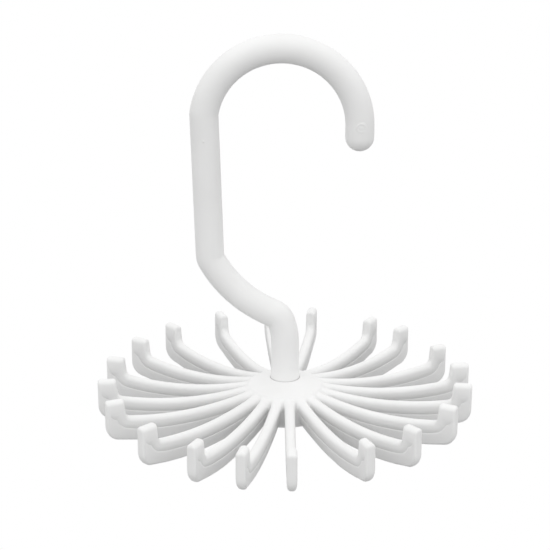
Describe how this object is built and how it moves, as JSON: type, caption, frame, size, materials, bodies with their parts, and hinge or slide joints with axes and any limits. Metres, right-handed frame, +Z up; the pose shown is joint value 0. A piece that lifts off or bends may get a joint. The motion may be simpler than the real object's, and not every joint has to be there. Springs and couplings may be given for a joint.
{
  "type": "scarf hanger",
  "caption": "White moulded scarf hanger: a round-rod rail hook that swivels in a hub, and a ring of narrow curved arms that radiate from the hub and turn up at their ends.",
  "frame": {"origin": "on the swivel axis, in the plane of the arms' feet", "axes": "+Z up along the swivel axis, +X towards the open side of the hook's arch"},
  "size_m": [0.1347, 0.1348, 0.1407],
  "materials": {
    "hook_plastic": "satin white, moulded",
    "rack_plastic": "satin white, moulded"
  },
  "bodies": {
    "hook": {"hook": "hook_plastic"},
    "rack": {"rack_hub": "rack_plastic", "arm_01": "rack_plastic", "arm_02": "rack_plastic", "arm_03": "rack_plastic", "arm_04": "rack_plastic", "arm_05": "rack_plastic", "arm_06": "rack_plastic", "arm_07": "rack_plastic", "arm_08": "rack_plastic", "arm_09": "rack_plastic", "arm_10": "rack_plastic", "arm_11": "rack_plastic", "arm_12": "rack_plastic", "arm_13": "rack_plastic", "arm_14": "rack_plastic", "arm_15": "rack_plastic", "arm_16": "rack_plastic", "arm_17": "rack_plastic", "arm_18": "rack_plastic", "arm_19": "rack_plastic", "arm_20": "rack_plastic"}
  },
  "joints": [
    {"name": "swivel", "type": "hinge", "parent": "hook", "child": "rack", "pos_m": [0, 0, 0.0153], "axis": [0, 0, 1], "continuous": true}
  ]
}
